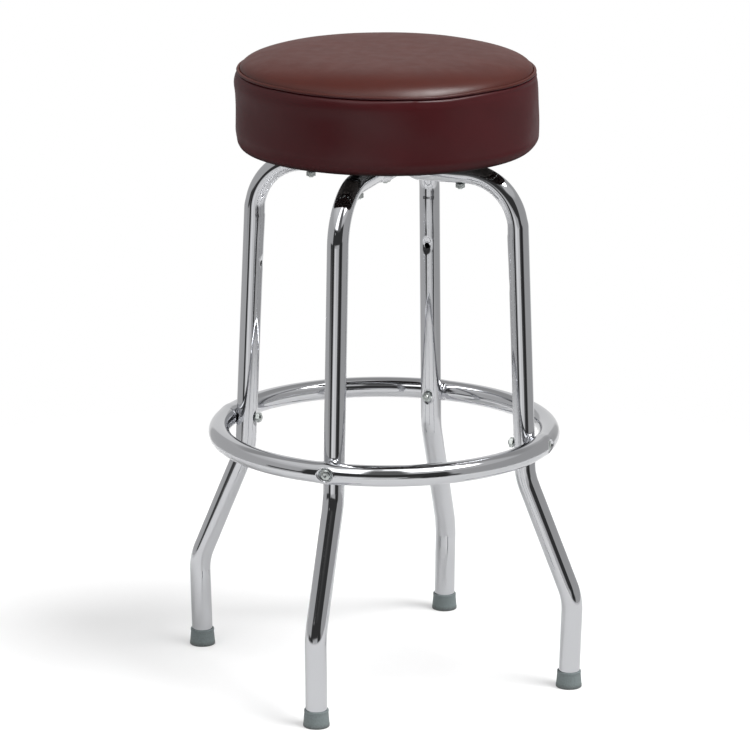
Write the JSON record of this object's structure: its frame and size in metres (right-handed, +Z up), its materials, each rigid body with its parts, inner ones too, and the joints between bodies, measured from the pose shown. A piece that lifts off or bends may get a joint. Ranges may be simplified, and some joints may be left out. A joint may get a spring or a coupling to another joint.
{
  "type": "swivel counter stool",
  "caption": "Round padded swivel seat on crossed bent-tube legs with a bolted foot ring and rubber tips.",
  "frame": {"origin": "on the floor at the centre of the four feet, on the seat's turning axis", "axes": "+Z up along the seat's turning axis; the upper leg frame's legs stand on the X axis and the lower leg frame's on the Y axis"},
  "size_m": [0.5076, 0.5084, 0.7659],
  "materials": {
    "chrome": "bright chrome plate",
    "zinc": "zinc plate with a faint yellow-green tint",
    "black_steel": "satin black enamel on pressed steel",
    "bearing_steel": "polished, lightly oiled",
    "tip_rubber": "slate grey moulded rubber, satin",
    "plywood": "unfinished plywood",
    "foam": "open-cell cushion foam",
    "maroon_vinyl": "embossed maroon vinyl, soft sheen"
  },
  "bodies": {
    "frame": {"leg_frame_upper": "chrome", "leg_frame_lower": "chrome", "foot_ring": "chrome", "foot_tip_right": "tip_rubber", "foot_tip_back": "tip_rubber", "foot_tip_left": "tip_rubber", "foot_tip_front": "tip_rubber", "ring_bolt_right": "zinc", "ring_nut_right": "zinc", "ring_bolt_back": "zinc", "ring_nut_back": "zinc", "ring_bolt_left": "zinc", "ring_nut_left": "zinc", "ring_bolt_front": "zinc", "ring_nut_front": "zinc", "plate_bolt_right": "zinc", "plate_nut_right": "zinc", "plate_bolt_back": "zinc", "plate_nut_back": "zinc", "plate_bolt_left": "zinc", "plate_nut_left": "zinc", "plate_bolt_front": "zinc", "plate_nut_front": "zinc", "centre_bolt": "zinc", "centre_nut": "zinc", "swivel_lower_plate": "black_steel"},
    "seat": {"swivel_upper_plate": "black_steel", "swivel_spool": "black_steel", "seat_board": "plywood", "tee_nut_right": "zinc", "tee_nut_back": "zinc", "tee_nut_left": "zinc", "tee_nut_front": "zinc", "seat_screw_right": "zinc", "seat_screw_back": "zinc", "seat_screw_left": "zinc", "seat_screw_front": "zinc", "seat_foam": "foam", "seat_side_band": "maroon_vinyl", "seat_top_panel": "maroon_vinyl", "seat_welt": "maroon_vinyl"},
    "ball_ring": {"ball_cage": "bearing_steel", "ball_1": "bearing_steel", "ball_2": "bearing_steel", "ball_3": "bearing_steel", "ball_4": "bearing_steel", "ball_5": "bearing_steel", "ball_6": "bearing_steel", "ball_7": "bearing_steel", "ball_8": "bearing_steel", "ball_9": "bearing_steel", "ball_10": "bearing_steel", "ball_11": "bearing_steel", "ball_12": "bearing_steel"}
  },
  "joints": [
    {"name": "seat_swivel", "type": "hinge", "parent": "frame", "child": "seat", "pos_m": [0, 0, 0.645], "axis": [0, 0, 1], "continuous": true},
    {"name": "ball_ring_turn", "type": "hinge", "parent": "frame", "child": "ball_ring", "pos_m": [0, 0, 0.645], "axis": [0, 0, 1], "continuous": true}
  ],
  "couplings": [
    {"joint": "ball_ring_turn", "follows": "seat_swivel", "ratio": 0.5}
  ]
}
